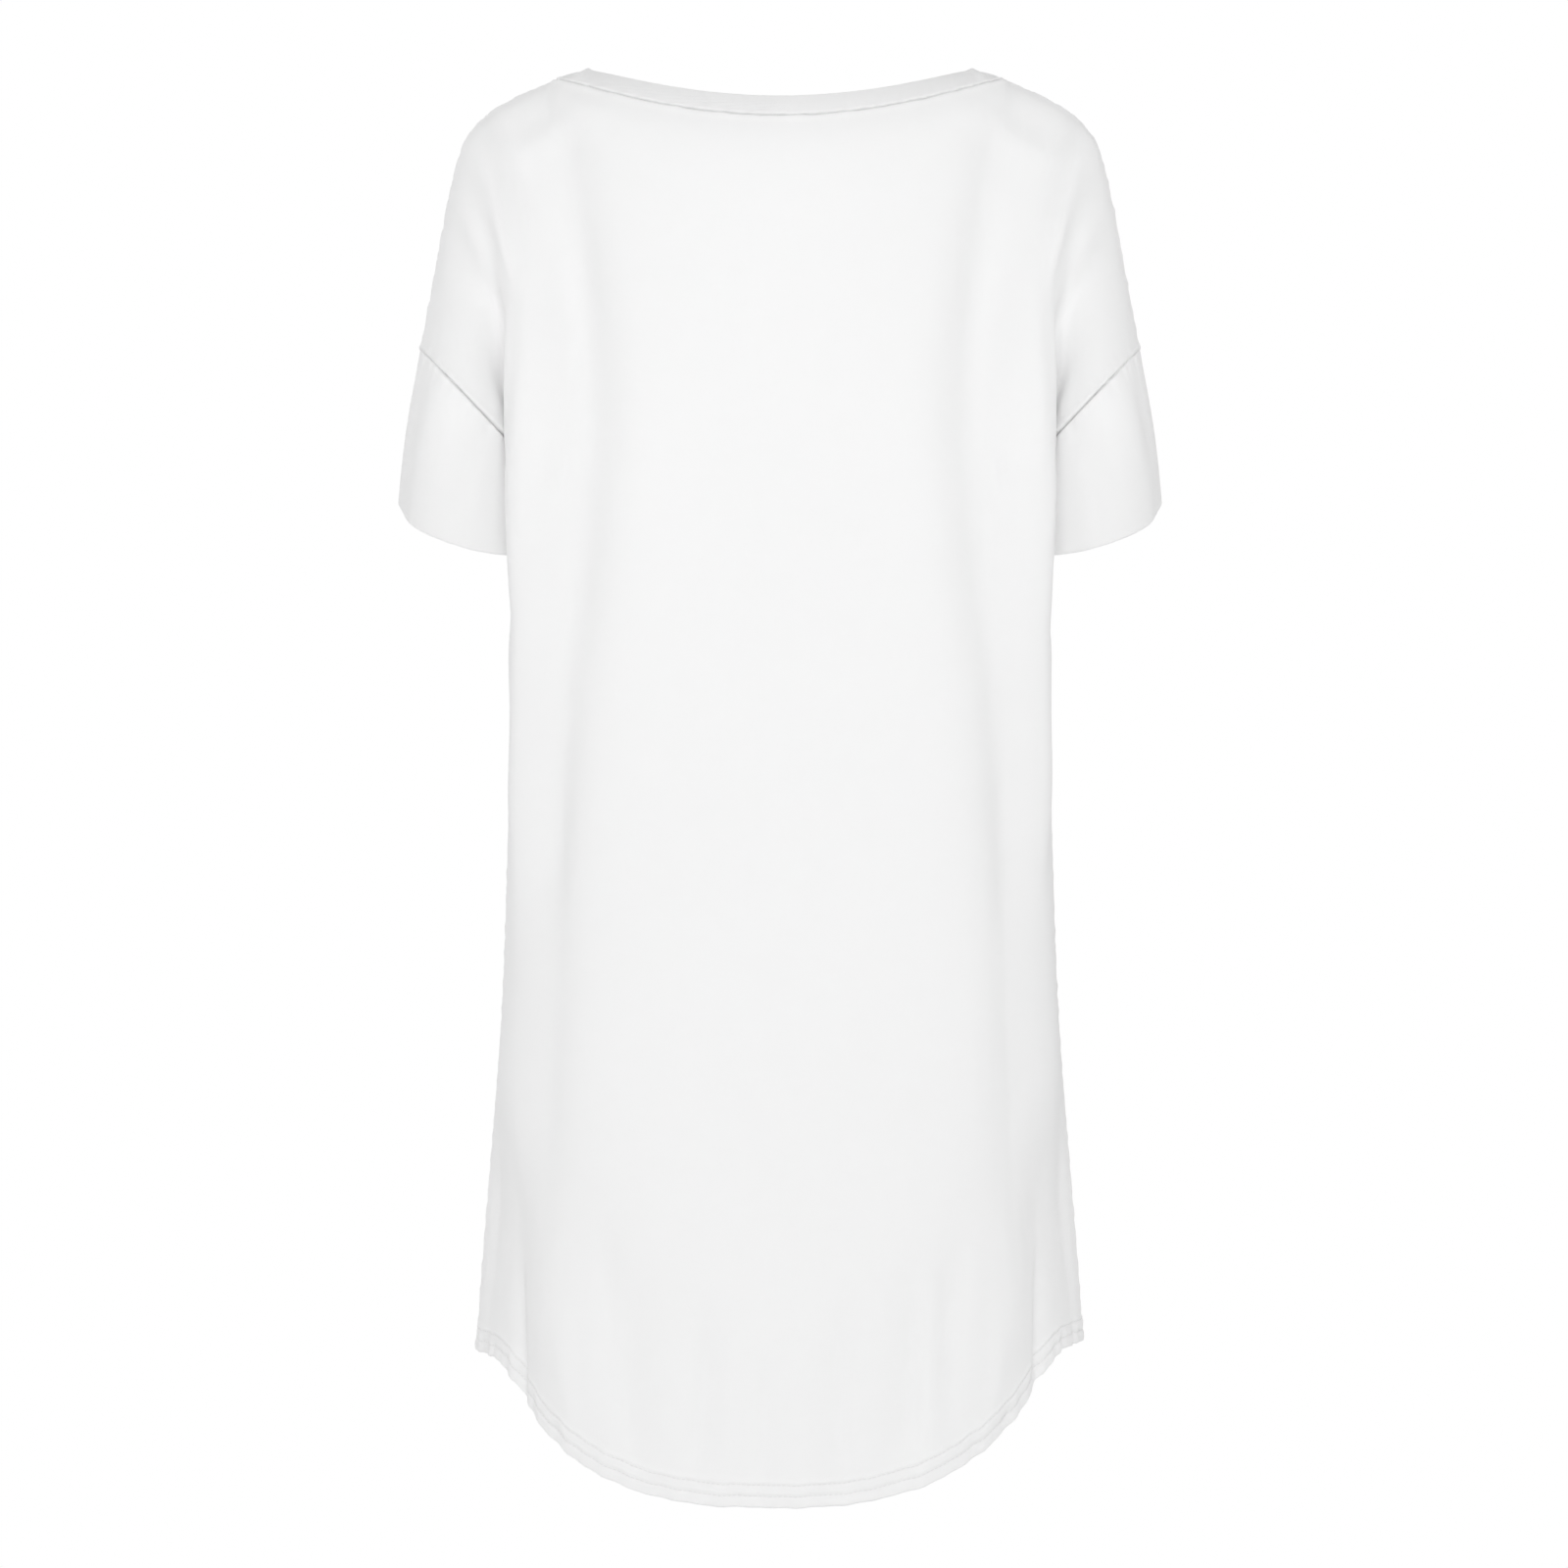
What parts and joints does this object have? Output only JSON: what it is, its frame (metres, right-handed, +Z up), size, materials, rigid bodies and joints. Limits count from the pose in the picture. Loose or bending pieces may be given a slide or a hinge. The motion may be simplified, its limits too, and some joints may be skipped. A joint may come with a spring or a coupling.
{
  "type": "t-shirt dress",
  "caption": "Short plain jersey T-shirt dress in its worn, hollow form, with a wide banded neck, dropped short sleeves and a curved shirt-tail hem.",
  "frame": {"origin": "midway between the two high shoulder points, where the wearer's shoulders carry the dress", "axes": "+Z up along the dress, +Y towards the wearer's front, +X towards the wearer's right"},
  "size_m": [0.486, 0.2604, 0.8897],
  "materials": {
    "jersey": "matt plain knit",
    "neckband_jersey": "matt plain knit, folded double"
  },
  "bodies": {
    "root": {"back": "jersey", "front": "jersey", "sleeve_left": "jersey", "sleeve_right": "jersey", "neckband": "neckband_jersey"}
  },
  "joints": []
}
